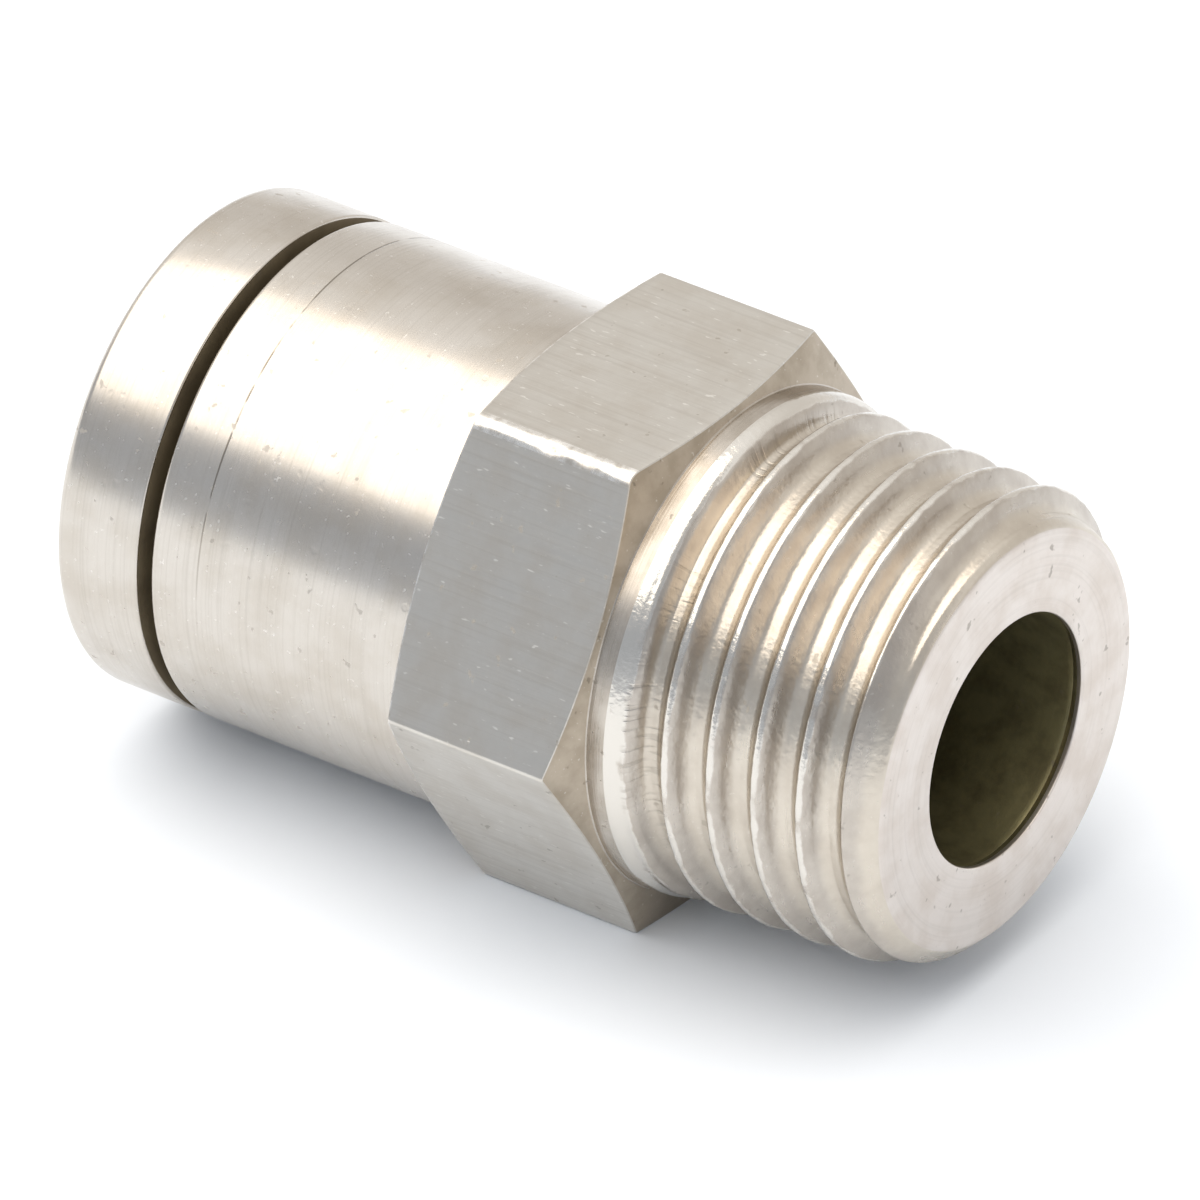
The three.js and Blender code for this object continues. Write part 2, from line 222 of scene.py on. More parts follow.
@dataclass(frozen=True)
class MetalFinish:
    """A bare or plated metal with machining marks, smudges, specks and small dents.

    The lengths are in millimetres and the heights in micrometres.
    """

    name: str
    colour: str
    smudge_colour: str
    grain: Grain
    roughness: float
    roughness_spread: float = 0.08
    grain_mm: float = 0.08
    grain_run_mm: float = 6.0
    grain_height_um: float = 1.0
    grain_shade: float = 0.0
    grain_colour: str = "8F887E"
    smudge_mm: float = 1.6
    speck_mm: float = 0.35
    speck_colour: str = "6E675D"
    speck_share: float = 0.35
    dent_mm: float = 0.5
    dent_height_um: float = 2.0
    fleck_mm: tuple[float, float] = (0.12, 0.12)
    fleck_share: float = 0.0
    fleck_colour: str = "F6F4EF"
    metallic: float = 1.0
    marks: "tuple[ThreadTearsAndPaintedLight | ChatterMarks | ScoreLine, ...]" = ()

    def build(self) -> bpy.types.Material:
        """Builds the node material.

        Returns:
            The material.
        """
        shader = Shader(self.name)
        place = shader.add("TexCoord").outputs["Object"]
        grain = self._grain(shader, place)
        smudge = self._cloud(shader, place, self.smudge_mm, 4.0)
        fine = self._cloud(shader, place, self.smudge_mm / 6, 3.0)
        dents = shader.ramp(self._cloud(shader, place, self.dent_mm, 1.0), 0.66, 0.78)
        specks = shader.ramp(self._cloud(shader, place, self.speck_mm, 2.0), 0.68, 0.74)

        fine_share = shader.math("MULTIPLY", fine, 0.3)
        shade = shader.math("MULTIPLY_ADD", shader.ramp(smudge, 0.35, 0.7), 0.7, fine_share)
        colour = shader.blend(shade, srgb(self.colour), srgb(self.smudge_colour))
        if self.grain_shade:
            lines = shader.math("MULTIPLY", shader.ramp(grain, 0.45, 0.75), self.grain_shade)
            colour = shader.blend(lines, colour, srgb(self.grain_colour))
        speckled = shader.math("MULTIPLY", specks, self.speck_share)
        colour = shader.blend(speckled, colour, srgb(self.speck_colour))

        smoothest = self.roughness - self.roughness_spread / 2
        wear = shader.math("MULTIPLY_ADD", smudge, self.roughness_spread, smoothest)
        rough = shader.math("MULTIPLY_ADD", grain, self.roughness_spread, wear)
        rough = shader.math("MULTIPLY_ADD", specks, 0.2, rough)
        if self.fleck_share:
            flecks = shader.math("MULTIPLY", self._flecks(shader, place), self.fleck_share)
            colour = shader.blend(flecks, colour, srgb(self.fleck_colour))
            rough = shader.math("MULTIPLY_ADD", flecks, 0.15, rough)

        height = shader.math("MULTIPLY", grain, self.grain_height_um)
        height = shader.math("MULTIPLY_ADD", dents, -self.dent_height_um, height)
        look = Look(colour, rough, height)
        for mark in self.marks:
            look = mark.apply(shader, place, look)
        colour, rough, height = look.colour, look.rough, look.height
        bump = shader.add("Bump", Strength=1.0, Distance=MM / 1000, Height=height)
        bsdf = shader.add(
            "BsdfPrincipled",
            Base_Color=colour,
            Metallic=self.metallic,
            Roughness=rough,
            Normal=bump.outputs["Normal"],
        )
        shader.add("OutputMaterial", Surface=bsdf.outputs["BSDF"])
        return shader.material

    def _cloud(
        self, shader: Shader, place: bpy.types.NodeSocket, size_mm: float, detail: float
    ) -> bpy.types.NodeSocket:
        """Adds soft noise with features of a given size.

        Args:
            shader: the material being built.
            place: the coordinates.
            size_mm: the size of the noise's features.
            detail: how many finer layers it has.

        Returns:
            The noise's value, from 0 to 1.
        """
        made = shader.add("TexNoise", Vector=place, Scale=1 / (size_mm * MM), Detail=detail, Roughness=0.55)
        return made.outputs["Fac"]

    def _flecks(self, shader: Shader, place: bpy.types.NodeSocket) -> bpy.types.NodeSocket:
        """Adds small bright flecks, drawn out along the axis as the sizes say.

        Args:
            shader: the material being built.
            place: the coordinates.

        Returns:
            1 on a fleck and 0 elsewhere.
        """
        along, across = (1 / (size * MM) for size in self.fleck_mm)
        spread = shader.add("Mapping", Vector=place, Scale=(along, across, across))
        speckle = shader.add("TexNoise", Vector=spread.outputs["Vector"], Scale=1.0, Detail=1.0)
        return shader.ramp(speckle.outputs["Fac"], 0.70, 0.76)

    def _grain(self, shader: Shader, place: bpy.types.NodeSocket) -> bpy.types.NodeSocket:
        """Adds the machining marks.

        Args:
            shader: the material being built.
            place: the coordinates.

        Returns:
            The marks' height, from 0 to 1.
        """
        across = 1 / (self.grain_mm * MM)
        along = 1 / (self.grain_run_mm * MM)
        if self.grain is Grain.FACING:
            flat = shader.add("VectorMath", {"operation": "MULTIPLY"}, in0=place, in1=(0.0, 1.0, 1.0))
            radius = shader.add("VectorMath", {"operation": "LENGTH"}, in0=flat.outputs[0]).outputs["Value"]
            run = shader.add("VectorMath", {"operation": "SCALE"}, in0=place, Scale=along)
            ring = shader.add("CombineXYZ", X=shader.math("MULTIPLY", radius, across))
            both = shader.add("VectorMath", {"operation": "ADD"}, in0=run.outputs[0], in1=ring.outputs[0])
            vector = both.outputs[0]
        else:
            lines_round = self.grain is Grain.AROUND
            scale = (across, along, along) if lines_round else (along, across, across)
            vector = shader.add("Mapping", Vector=place, Scale=scale).outputs["Vector"]
        return shader.add("TexNoise", Vector=vector, Scale=1.0, Detail=3.0, Roughness=0.6).outputs["Fac"]


@dataclass(frozen=True)
class Look:
    """The sockets that a finish has worked out so far."""

    colour: bpy.types.NodeSocket
    rough: bpy.types.NodeSocket
    height: bpy.types.NodeSocket


def around(shader: Shader, place: bpy.types.NodeSocket) -> tuple[bpy.types.NodeSocket, ...]:
    """Splits a place into its parts round the X axis.

    Args:
        shader: the material being built.
        place: the coordinates.

    Returns:
        The sockets of x, the radius and the angle from +Y towards +Z.
    """
    parts = shader.add("SeparateXYZ", Vector=place).outputs
    upright = shader.math("MULTIPLY", parts["Z"], parts["Z"])
    squares = shader.math("MULTIPLY_ADD", parts["Y"], parts["Y"], upright)
    return parts["X"], shader.math("SQRT", squares), shader.math("ARCTAN2", parts["Z"], parts["Y"])


@dataclass(frozen=True)
class ThreadTearsAndPaintedLight:
    """Painted light on the thread, told apart by height: a painted highlight on the crests, painted shade on
    the shoulders beside them and a painted warm reflection in the roots; also the die's tears as bumps.
    """

    face_x: float
    end_radius: float
    taper: float
    # Painted light: a highlight colour for the crests, a shade colour for the shoulders and a warm reflection
    # colour for the roots.
    crest_highlight_colour: str = "DAD5CD"
    shoulder_shade_colour: str = "A79F98"
    root_reflection_colour: str = "CCC2B3"
    tear_mm: float = 0.16
    tear_height_um: float = 10.0
    patch_mm: float = 0.7
    patch_depth: float = 0.2 * MM
    crest_polish: float = 0.1

    def apply(self, shader: Shader, place: bpy.types.NodeSocket, look: Look) -> Look:
        """Adds the painted light and the tears to a finish that is being built.

        Args:
            shader: the material being built.
            place: the coordinates.
            look: the finish so far.

        Returns:
            The finish with its painted crest highlight, painted shoulder shade and painted root reflection.
        """
        x, radius, _ = around(shader, place)
        apex = self.end_radius + self.face_x * self.taper / 2
        top = shader.math("MULTIPLY_ADD", x, -self.taper / 2, apex)
        height = shader.math("SUBTRACT", radius, top)
        patch_scale = 1 / (self.patch_mm * MM)
        patchy = shader.add("TexNoise", Vector=place, Scale=patch_scale, Detail=3.0).outputs["Fac"]
        ragged = shader.math("MULTIPLY_ADD", patchy, self.patch_depth, height)
        # These masks pick out crests, shoulders and roots; their colours paint a highlight on the crests,
        # shade on the shoulders and a warm reflection in the roots.
        crest = shader.ramp(ragged, 0.05 * MM, 0.1 * MM)
        shoulder = shader.math("MULTIPLY", shader.ramp(ragged, -0.42 * MM, -0.18 * MM), 0.4)
        root = shader.math("MULTIPLY", shader.ramp(ragged, -0.15 * MM, -0.45 * MM), 0.5)
        colour = shader.blend(root, look.colour, srgb(self.root_reflection_colour))
        colour = shader.blend(shoulder, colour, srgb(self.shoulder_shade_colour))
        colour = shader.blend(crest, colour, srgb(self.crest_highlight_colour))
        tears = shader.add("TexNoise", Vector=place, Scale=1 / (self.tear_mm * MM), Detail=2.0).outputs["Fac"]
        height = shader.math("MULTIPLY_ADD", tears, self.tear_height_um, look.height)
        return Look(colour, shader.math("MULTIPLY_ADD", crest, -self.crest_polish, look.rough), height)


@dataclass(frozen=True)
class ChatterMarks:
    """Short ticks along the axis where the die chattered as it ran out."""

    start_x: float
    end_x: float
    spacing_mm: float = 0.14
    height_um: float = 6.0
    mid_radius: float = 6.2 * MM
    tick_colour: str = "8E867B"
    tick_share: float = 0.3
    lean_per_mm: float = 0.9
    length_mm: float = 0.909
    patch_mm: float = 2.2

    def apply(self, shader: Shader, place: bpy.types.NodeSocket, look: Look) -> Look:
        """Adds the ticks to a finish that is being built.

        Args:
            shader: the material being built.
            place: the coordinates.
            look: the finish so far.

        Returns:
            The finish with the ticks.
        """
        x, _, angle = around(shader, place)
        turn = shader.math("MULTIPLY", angle, self.mid_radius / (self.spacing_mm * MM))
        lean = shader.math("MULTIPLY_ADD", x, self.lean_per_mm / MM, turn)
        spot = shader.add("CombineXYZ", X=lean, Y=shader.math("DIVIDE", x, self.length_mm * MM)).outputs[0]
        ticks = shader.add("TexNoise", Vector=spot, Scale=1.0, Detail=1.0, Roughness=0.4).outputs["Fac"]
        patch_scale = 1 / (self.patch_mm * MM)
        patches = shader.add("TexNoise", Vector=place, Scale=patch_scale, Detail=0.0).outputs["Fac"]
        start = shader.ramp(x, self.start_x, self.start_x + 0.15 * MM)
        here = shader.math("MULTIPLY", start, shader.ramp(patches, 0.4, 0.55))
        here = shader.math("MULTIPLY", here, shader.ramp(x, self.end_x, self.end_x - 0.35 * MM))
        cut = shader.math("MULTIPLY", shader.ramp(ticks, 0.52, 0.66), here)
        share = shader.math("MULTIPLY", cut, self.tick_share)
        colour = shader.blend(share, look.colour, srgb(self.tick_colour))
        return Look(colour, look.rough, shader.math("MULTIPLY_ADD", cut, -self.height_um, look.height))


@dataclass(frozen=True)
class ScoreLine:
    """A thin broken line scored round the barrel."""

    x: float = -7.9 * MM
    width: float = 0.035 * MM
    colour: str = "8B8378"
    break_mm: float = 1.3
    depth_um: float = 6.0

    def apply(self, shader: Shader, place: bpy.types.NodeSocket, look: Look) -> Look:
        """Adds the line to a finish that is being built.

        Args:
            shader: the material being built.
            place: the coordinates.
            look: the finish so far.

        Returns:
            The finish with the line.
        """
        x, _, angle = around(shader, place)
        away = shader.math("ABSOLUTE", shader.math("SUBTRACT", x, self.x))
        break_scale = 1 / (self.break_mm * MM)
        broken = shader.add("TexNoise", Vector=place, Scale=break_scale, Detail=3.0).outputs["Fac"]
        side = shader.ramp(shader.math("SINE", angle), -0.3, 0.7)
        line = shader.math("MULTIPLY", shader.ramp(away, self.width, self.width / 3), side)
        line = shader.math("MULTIPLY", line, shader.ramp(broken, 0.38, 0.5))
        colour = shader.blend(line, look.colour, srgb(self.colour))
        return Look(colour, look.rough, shader.math("MULTIPLY_ADD", line, -self.depth_um, look.height))


@dataclass(frozen=True)
class RubberFinish:
    """Moulded nitrile rubber: matt black with a faint bloom."""

    name: str = "nitrile_rubber_moulded"
    colour: str = "1B1B1C"
    bloom_colour: str = "333335"
    bloom_mm: float = 0.8

    def build(self) -> bpy.types.Material:
        """Builds the node material.

        Returns:
            The material.
        """
        shader = Shader(self.name)
        place = shader.add("TexCoord").outputs["Object"]
        scale = 1 / (self.bloom_mm * MM)
        bloom = shader.add("TexNoise", Vector=place, Scale=scale, Detail=4.0).outputs["Fac"]
        colour = shader.blend(shader.ramp(bloom, 0.4, 0.75), srgb(self.colour), srgb(self.bloom_colour))
        bump = shader.add("Bump", Strength=0.5, Distance=0.002 * MM, Height=bloom)
        bsdf = shader.add("BsdfPrincipled", Base_Color=colour, Roughness=0.6, Normal=bump.outputs["Normal"])
        shader.add("OutputMaterial", Surface=bsdf.outputs["BSDF"])
        return shader.material


# ---------------------------------------------------------------- mesh helpers


Point = tuple[float, float]
Place = Callable[[float], Point]


def at(x: float, radius: float) -> Place:
    """Makes the rule for a plain round ring.

    Args:
        x: the ring's place along the axis.
        radius: its radius.

    Returns:
        A rule that gives x and radius at any angle.
    """
    return lambda angle: (x, radius)


def quarter_round(corner: Point, start: Point, end: Point, steps: int) -> list[Point]:
    """Gives the points of a round between two tangent points that share a sharp corner.

    Args:
        corner: x and radius of the sharp corner.
        start: x and radius where the round begins.
        end: x and radius where it ends.
        steps: how many parts the round has.

    Returns:
        The points, both ends included.
    """
    points = []
    for step in range(steps + 1):
        angle = math.pi / 2 * step / steps
        sine, cosine = math.sin(angle), math.cos(angle)
        x = start[0] + (corner[0] - start[0]) * sine + (end[0] - corner[0]) * (1 - cosine)
        radius = start[1] + (corner[1] - start[1]) * sine + (end[1] - corner[1]) * (1 - cosine)
        points.append((x, radius))
    return points


class RingSkin:
    """Grows a skin ring by ring round the X axis from an open loop."""

    def __init__(self, mesh: bmesh.types.BMesh, edges: Iterable[bmesh.types.BMEdge]) -> None:
        """Starts at an open loop.

        Args:
            mesh: the mesh being built.
            edges: the loop's edges.
        """
        self.mesh = mesh
        self.edges = list(edges)
        self.home = {v: math.atan2(v.co.z, v.co.y) for e in self.edges for v in e.verts}

    def grow(self, place: Place, slot: int, crowd: float = 0.0) -> None:
        """Extrudes the open loop by one ring.

        Args:
            place: gives x and radius at each angle.
            slot: the material slot of the new faces.
            crowd: how far the vertices gather at the hexagon's corners, from 0 to 1.
        """
        spots = {self._key(v): angle for v, angle in self.home.items()}
        made = bmesh.ops.extrude_edge_only(self.mesh, edges=self.edges)["geom"]
        verts = [g for g in made if isinstance(g, bmesh.types.BMVert)]
        self.home = {v: spots[self._key(v)] for v in verts}
        for vert, home in self.home.items():
            angle = home - crowd * math.sin(6 * home) / 6
            x, radius = place(angle)
            vert.co = (x, radius * math.cos(angle), radius * math.sin(angle))
        for face in (g for g in made if isinstance(g, bmesh.types.BMFace)):
            face.material_index = slot
        self.edges = [g for g in made if isinstance(g, bmesh.types.BMEdge) and g.is_boundary]

    def follow(self, points: Iterable[Point], slot: int) -> None:
        """Grows a plain round ring at each point.

        Args:
            points: x and radius of each ring.
            slot: the material slot of the new faces.
        """
        for x, radius in points:
            self.grow(at(x, radius), slot)

    @staticmethod
    def _key(vert: bmesh.types.BMVert) -> tuple[float, float, float]:
        """Gives a vertex's place, rounded, to match it with its copy."""
        return tuple(round(c, 9) for c in vert.co)


def loop_near(mesh: bmesh.types.BMesh, x: float) -> list[bmesh.types.BMEdge]:
    """Finds the open edges at a place along the axis.

    Args:
        mesh: the mesh being built.
        x: the place.

    Returns:
        The boundary edges there.
    """
    near = 0.01 * MM
    return [e for e in mesh.edges if e.is_boundary and all(abs(v.co.x - x) < near for v in e.verts)]


def spin_ring(points: list[Point], segments: int) -> bmesh.types.BMesh:
    """Spins a closed outline of x and radius points into a ring.

    Args:
        points: the outline's corners.
        segments: how many steps go round.

    Returns:
        The ring's mesh.
    """
    mesh = bmesh.new()
    verts = [mesh.verts.new((x, radius, 0)) for x, radius in points]
    edges = [mesh.edges.new((a, b)) for a, b in zip(verts, verts[1:] + verts[:1])]
    bmesh.ops.spin(
        mesh, geom=verts + edges, cent=(0, 0, 0), axis=(1, 0, 0), dvec=(0, 0, 0),
        angle=FULL_TURN, steps=segments, use_merge=True,
    )
    bmesh.ops.remove_doubles(mesh, verts=mesh.verts, dist=1e-8)
    bmesh.ops.recalc_face_normals(mesh, faces=mesh.faces)
    return mesh


def soften(mesh: bmesh.types.BMesh, x: float, radius: float, width: float, segments: int) -> None:
    """Rounds the ring edge that lies at one place of a turned piece.

    Args:
        mesh: the turned piece.
        x: the edge's place along the axis.
        radius: its radius.
        width: how far the round reaches from the edge.
        segments: how many faces the round has.
    """
    near = 0.002 * MM
    ring = [
        e
        for e in mesh.edges
        if all(abs(v.co.x - x) < near and abs(math.hypot(v.co.y, v.co.z) - radius) < near for v in e.verts)
    ]
    bmesh.ops.bevel(
        mesh, geom=ring, offset=width, offset_type="OFFSET", affect="EDGES",
        segments=segments, profile=0.5, material=-1, clamp_overlap=True,
    )


def finish_piece(
    mesh: bmesh.types.BMesh,
    name: str,
    materials: list[bpy.types.Material],
    sharp_deg: float = 32.0,
    soft_slot: int | None = None,
) -> bpy.types.Object:
    """Turns a bmesh into a smooth-shaded object with its sharp edges marked.

    Args:
        mesh: the mesh, freed here.
        name: the object's name.
        materials: its material slots in order.
        sharp_deg: the angle past which an edge is sharp.
        soft_slot: a material slot whose faces have no sharp edge between them.

    Returns:
        The object, linked to the scene.
    """
    limit = math.radians(sharp_deg)
    for face in mesh.faces:
        face.smooth = True
    for edge in mesh.edges:
        soft = all(face.material_index == soft_slot for face in edge.link_faces)
        edge.smooth = soft or edge.calc_face_angle(0.0) < limit
    data = bpy.data.meshes.new(name)
    mesh.to_mesh(data)
    mesh.free()
    for material in materials:
        data.materials.append(material)
    made = bpy.data.objects.new(name, data)
    bpy.context.scene.collection.objects.link(made)
    return made


# ---------------------------------------------------------------- fitting body


@dataclass
class TaperThread:
    """The R 1/4 taper thread: a rounded 55 degree profile on a 1 in 16 taper that lifts out inwards."""

    layout: Layout
    pitch: float = 25.4 / 19 * MM
    end_radius: float = 6.39 * MM
    taper: float = 1 / 16
    half_flank: float = math.radians(27.5)
    tip_round: float = 0.13 * MM
    root_round: float = 0.137329 * 25.4 / 19 * MM
    chamfer: float = 0.8 * MM
    band_radius: float = 6.75 * MM
    band_front_from_face: float = 7.6 * MM
    band_round: float = 0.42 * MM
    root_depth: float = 0.62 * MM
    root_soft: float = 0.18 * MM
    mouth_rise: float = 0.6
    mouth_reach: float = 0.45 * MM
    lift_from_face: float = 6.9 * MM
    lift_slope: float = 1.5
    tear_height: float = 0.02 * MM
    tear_reach: float = 0.3
    crest_from_face: float = 1.25 * MM
    steps: int = 480
    rows_per_round: int = 6
    rows_per_flank: int = 3

    @property
    def depth(self) -> float:
        """Gives the profile's depth: the sharp V less what both rounds take away."""
        sharp = self.pitch / 2 / math.tan(self.half_flank)
        return sharp - (self.tip_round + self.root_round) * (1 / math.sin(self.half_flank) - 1)

    def _row_phases(self) -> list[float]:
        """Gives the rows of one pitch, as distances from the crest, from one root to the next."""
        tip_reach = self.tip_round * math.cos(self.half_flank)
        root_reach = self.root_round * math.cos(self.half_flank)
        half = self.pitch / 2
        straight = half - tip_reach - root_reach
        tip = [tip_reach * (2 * i / self.rows_per_round - 1) for i in range(self.rows_per_round + 1)]
        root = [half - root_reach * (1 - 2 * i / self.rows_per_round) for i in range(self.rows_per_round)]
        flank = [tip_reach + straight * i / self.rows_per_flank for i in range(1, self.rows_per_flank)]
        back = [-f for f in reversed(flank)]
        return back + tip + flank + root

    def drop(self, offset: float) -> float:
        """Gives how far the profile lies below the crest.

        Args:
            offset: the distance along the axis from the nearest crest's middle.

        Returns:
            The drop, 0 at the crest and the full depth at the root.
        """
        away = abs(offset)
        reach = self.tip_round * math.cos(self.half_flank)
        if away <= reach:
            return self.tip_round - math.sqrt(self.tip_round**2 - away**2)
        from_root = self.pitch / 2 - away
        if from_root <= self.root_round * math.cos(self.half_flank):
            return self.depth - self.root_round + math.sqrt(self.root_round**2 - from_root**2)
        start = self.tip_round * (1 - math.sin(self.half_flank))
        return start + (away - reach) / math.tan(self.half_flank)

    def offset(self, x: float, angle: float) -> float:
        """Gives the distance along the axis from the nearest crest.

        Args:
            x: the place along the axis.
            angle: the angle from +Y towards +Z.

        Returns:
            The distance, from minus half a pitch to half a pitch.
        """
        crest = self.layout.thread_face - self.crest_from_face + self.pitch * (angle / FULL_TURN)
        return (x - crest + self.pitch / 2) % self.pitch - self.pitch / 2

    def blank_radius(self, x: float) -> float:
        """Gives the radius of the shank before its thread is cut: band, taper and end chamfer.

        Args:
            x: the place along the axis.

        Returns:
            The radius.
        """
        from_face = self.layout.thread_face - x
        cone = self.end_radius + from_face * self.taper / 2
        share = min(1.0, max(0.0, (from_face - self.band_front_from_face) / self.band_round + 1))
        band = cone + (self.band_radius - cone) * share * share * (3 - 2 * share)
        return min(band, self.end_radius - self.chamfer + from_face)

    def radius(self, x: float, angle: float) -> float:
        """Gives the threaded shank's radius.

        Args:
            x: the place along the axis.
            angle: the angle from +Y towards +Z.

        Returns:
            The radius, with the small tears that the die leaves.
        """
        from_face = self.layout.thread_face - x
        cone = self.end_radius + from_face * self.taper / 2
        drop = self.drop(self.offset(x, angle))
        lift = max(0.0, from_face - self.lift_from_face) * self.lift_slope
        above_root = self.root_depth - drop + lift
        groove = cone - self.root_depth + (above_root + math.hypot(above_root, self.root_soft)) / 2
        inwards = max(0.0, min(from_face, self.mouth_reach))
        mouth = self.end_radius - self.chamfer + self.mouth_rise * inwards
        spot = Vector((x, self.end_radius * math.cos(angle), self.end_radius * math.sin(angle))) / MM
        tear = noise.noise(spot * 3.2) * 0.6 + noise.noise(spot * 9.0) * 0.4
        ragged = self.tear_height * tear * max(0.0, 1 - drop / (self.tear_reach * self.depth))
        return min(max(groove, mouth) + ragged, self.blank_radius(x))

    def build(self, mesh: bmesh.types.BMesh, slot: int) -> tuple[float, float]:
        """Winds the thread's rows into a closed tube, trims both ends and gives it its profile.

        Args:
            mesh: the mesh that the thread is added to.
            slot: its material slot.

        Returns:
            The places of its rear and front open loops.
        """
        face = self.layout.thread_face
        front = face - 0.08 * MM
        rear = face - self.band_front_from_face - 0.06 * MM
        first_crest = face - self.crest_from_face
        phases = self._row_phases()
        lowest = rear - self.pitch * 1.2
        turn = math.floor((lowest - first_crest) / self.pitch)
        places = []
        while first_crest + turn * self.pitch < face + self.pitch:
            places += [first_crest + turn * self.pitch + p for p in phases]
            turn += 1
        verts = [mesh.verts.new((x, self.end_radius, 0)) for x in places]
        edges = [mesh.edges.new(pair) for pair in zip(verts, verts[1:])]
        bmesh.ops.spin(
            mesh, geom=verts + edges, cent=(0, 0, 0), axis=(1, 0, 0), dvec=(self.pitch / self.steps, 0, 0),
            angle=FULL_TURN, steps=self.steps, use_merge=False,
        )
        bmesh.ops.remove_doubles(mesh, verts=mesh.verts, dist=1e-7)
        for x, outer in ((front, True), (rear, False)):
            geometry = mesh.verts[:] + mesh.edges[:] + mesh.faces[:]
            bmesh.ops.bisect_plane(
                mesh, geom=geometry, dist=1e-8, plane_co=(x, 0, 0), plane_no=(1, 0, 0),
                clear_outer=outer, clear_inner=not outer,
            )
            ends = {v for e in loop_near(mesh, x) for v in e.verts}
            bmesh.ops.remove_doubles(mesh, verts=list(ends), dist=0.015 * MM)
        for vert in mesh.verts:
            angle = math.atan2(vert.co.z, vert.co.y)
            radius = self.radius(vert.co.x, angle % FULL_TURN)
            vert.co.y, vert.co.z = radius * math.cos(angle), radius * math.sin(angle)
        for made in mesh.faces:
            made.material_index = slot
        return rear, front


@dataclass
class FittingBody:
    """The body: thread, shoulder band, hexagon, barrel and the stepped hole through it."""

    layout: Layout
    hex_front_from_face: float = 8.2 * MM
    hex_length: float = 5.6 * MM
    hex_corner_round: float = 0.13 * MM
    hex_chamfer: float = math.radians(18)
    rim_soft: float = 0.05 * MM
    barrel_round: float = 0.18 * MM
    mouth_chamfer: float = 0.15 * MM
    bore_edge: float = 0.05 * MM
    tube_stop: float = 3.45 * MM
    seat_front: float = 0.45 * MM
    flow_radius: float = 3.4 * MM
    burr_height: float = 0.05 * MM
    worn_corner: int = 2
    worn_round: float = 0.5 * MM
    wear_rings: int = 20
    wear_share: float = 0.85
    wear_swell: float = 0.8
    corner_crowd: float = 0.92
    foot_soft: float = 0.03 * MM
    burr_steps: tuple[float, float, float] = (0.46 * MM, 0.30 * MM, 0.20 * MM)
    body: str = "housing"

    THREAD, BAND, CHAMFER, RIM, HEXAGON, BARREL, FACE, BORE = range(8)

    def hexagon_radius(self, angle: float, wear: float = 1.0) -> float:
        """Gives the radius of the hexagon's outline, its corners slightly rounded.

        Args:
            angle: the angle from a corner at +Y.
            wear: how much of its full round the worn corner has.

        Returns:
            The radius.
        """
        sector = math.pi / 3
        from_corner = abs((angle + sector / 2) % sector - sector / 2)
        worn = round(angle / sector) % 6 == self.worn_corner
        corner_round = self.worn_round * wear if worn else self.hex_corner_round
        centre = (self.layout.hex_apothem - corner_round) / math.cos(math.pi / 6)
        reach = math.atan2(corner_round / 2, centre + corner_round * math.cos(math.pi / 6))
        if from_corner <= reach:
            side = centre * math.sin(from_corner)
            return centre * math.cos(from_corner) + math.sqrt(corner_round**2 - side**2)
        return self.layout.hex_apothem / math.cos(sector / 2 - from_corner)

    def _on_worn_corner(self, spot: Vector) -> bool:
        """Tells whether a place on the hexagon lies on the corner that a spanner has rubbed.

        Args:
            spot: the place.

        Returns:
            Whether it does.
        """
        away = math.atan2(spot.z, spot.y) - self.worn_corner * math.pi / 3
        return abs(away) * self.layout.hex_apothem < self.worn_round / 2

    def _grow_hexagon(self, skin: RingSkin) -> None:
        """Grows the hexagon: front cone, flats and rear cone, with softened rims.

        Args:
            skin: the skin, standing at the shoulder band.
        """
        front = self.layout.thread_face - self.hex_front_from_face
        rear = front - self.hex_length
        foot = self.layout.barrel_radius
        slope = math.tan(self.hex_chamfer)

        def rim(end: float, side: float, inset: float, back: float) -> Place:
            """Gives the rule for a ring on a rim, inset from the outline and set back along the axis."""

            def place(angle: float) -> Point:
                """Gives the ring's x and radius at an angle."""
                radius = self.hexagon_radius(angle)
                drop = (radius - foot) * slope
                return end + side * (drop + back - inset * slope), radius - inset

            return place

        def middle(share: float, wear: float) -> Place:
            """Gives the rule for a ring across the flats, at a share of the way from front to rear."""

            def place(angle: float) -> Point:
                """Gives the ring's x and radius at an angle."""
                drop = (self.hexagon_radius(angle) - foot) * slope + self.rim_soft
                return front - drop + (rear - front + 2 * drop) * share, self.hexagon_radius(angle, wear)

            return place

        soft = self.foot_soft
        skin.follow([(front + soft, foot), (front, foot + soft)], self.BAND)
        for end, side in ((front, -1), (rear, 1)):
            steps = [rim(end, side, self.rim_soft, 0), rim(end, side, self.rim_soft / 4, self.rim_soft / 6)]
            steps += [rim(end, side, 0, self.rim_soft)]
            slots = [self.CHAMFER, self.HEXAGON, self.HEXAGON]
            if end == rear:
                steps.reverse()
                # The rear rim's rings take the rubbed finish, whose near-white colour is a painted highlight.
                slots = [self.HEXAGON, self.RIM, self.RIM]
            for place, slot in zip(steps, slots):
                skin.grow(place, slot, self.corner_crowd)
            if end == front:
                for ring in range(1, self.wear_rings):
                    share = ring / self.wear_rings
                    swell = noise.noise(Vector((share * 15.3, 1.7, 0.4))) * min(1.0, 5 * share, 5 - 5 * share)
                    wear = self.wear_share + self.wear_swell * swell
                    skin.grow(middle(share, wear), self.HEXAGON, self.corner_crowd)
        skin.follow([(rear, foot + soft), (rear - soft, foot)], self.CHAMFER)

    def _grow_barrel(self, skin: RingSkin) -> None:
        """Grows the barrel with its rounded rear edge.

        Args:
            skin: the skin, standing behind the hexagon.
        """
        radius, rear = self.layout.barrel_radius, self.layout.barrel_rear
        start, end = (rear + self.barrel_round, radius), (rear, radius - self.barrel_round)
        skin.follow(quarter_round((rear, radius), start, end, 8), self.BARREL)

